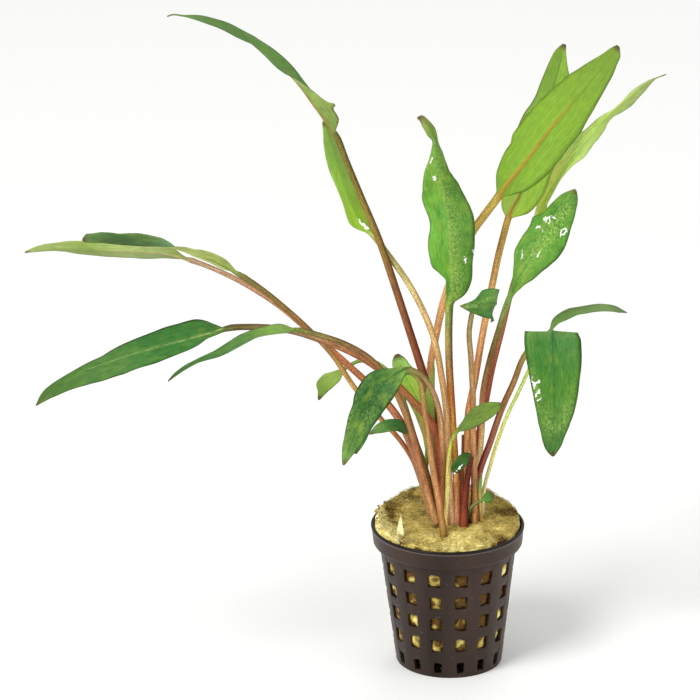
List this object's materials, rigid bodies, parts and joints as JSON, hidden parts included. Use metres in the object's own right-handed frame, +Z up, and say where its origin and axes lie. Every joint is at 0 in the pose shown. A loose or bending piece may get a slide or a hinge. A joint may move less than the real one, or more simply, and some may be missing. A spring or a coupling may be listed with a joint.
{
  "type": "potted water plant",
  "caption": "Cryptocoryne with long arching leaves on thin stalks, planted in rock wool in a slotted plastic net pot.",
  "frame": {"origin": "the middle of the net pot's flat underside", "axes": "+Z up along the pot's axis, +X to the right as the picture shows it, +Y away from its viewer"},
  "size_m": [0.2177, 0.0844, 0.2367],
  "materials": {
    "pot_plastic": "moulded brown-black plastic with a low sheen",
    "mineral_wool": "matt olive-yellow mineral fibre with pale torn flakes and brown shadows",
    "leaf_dark": "deep green blade with a waxy gloss, paler midrib and fine side veins",
    "leaf_green": "mid-green blade with a waxy gloss and fine side veins, on a green and brown stalk",
    "leaf_lime": "thin young yellow-green blade, part see-through",
    "leaf_pale": "pale matt green underside over a deeper green upper face",
    "leaf_bright": "bright green blade lit through, with an orange-brown midrib",
    "leaf_tan": "dark blade on a pinkish-tan stalk",
    "leaf_maroon": "maroon to orange-brown stalk under a dark green blade"
  },
  "bodies": {
    "root": {"net_pot": "pot_plastic", "rock_wool": "mineral_wool", "leaf_high_arch": "leaf_maroon", "leaf_lime_left": "leaf_lime", "leaf_wavy_upright": "leaf_green", "leaf_bright_underside": "leaf_bright", "leaf_behind_bright": "leaf_bright", "leaf_small_folded": "leaf_dark", "leaf_long_pale": "leaf_pale", "leaf_speckled_glossy": "leaf_green", "leaf_hanging_dark": "leaf_dark", "leaf_narrow_arch": "leaf_green", "leaf_pale_left": "leaf_pale", "leaf_folded_left": "leaf_pale", "leaf_big_left": "leaf_dark", "leaf_thin_left": "leaf_green", "leaf_drooping_dark": "leaf_dark", "leaf_drooping_behind": "leaf_tan", "leaf_lime_behind": "leaf_lime", "leaf_strip_behind": "leaf_lime", "leaf_small_dark": "leaf_dark", "leaf_small_light": "leaf_lime", "leaf_small_front": "leaf_green", "leaf_small_hook": "leaf_maroon", "leaf_rolled_young": "leaf_lime", "leaf_tiny_round": "leaf_green", "stalk_stub": "leaf_maroon"}
  },
  "joints": []
}
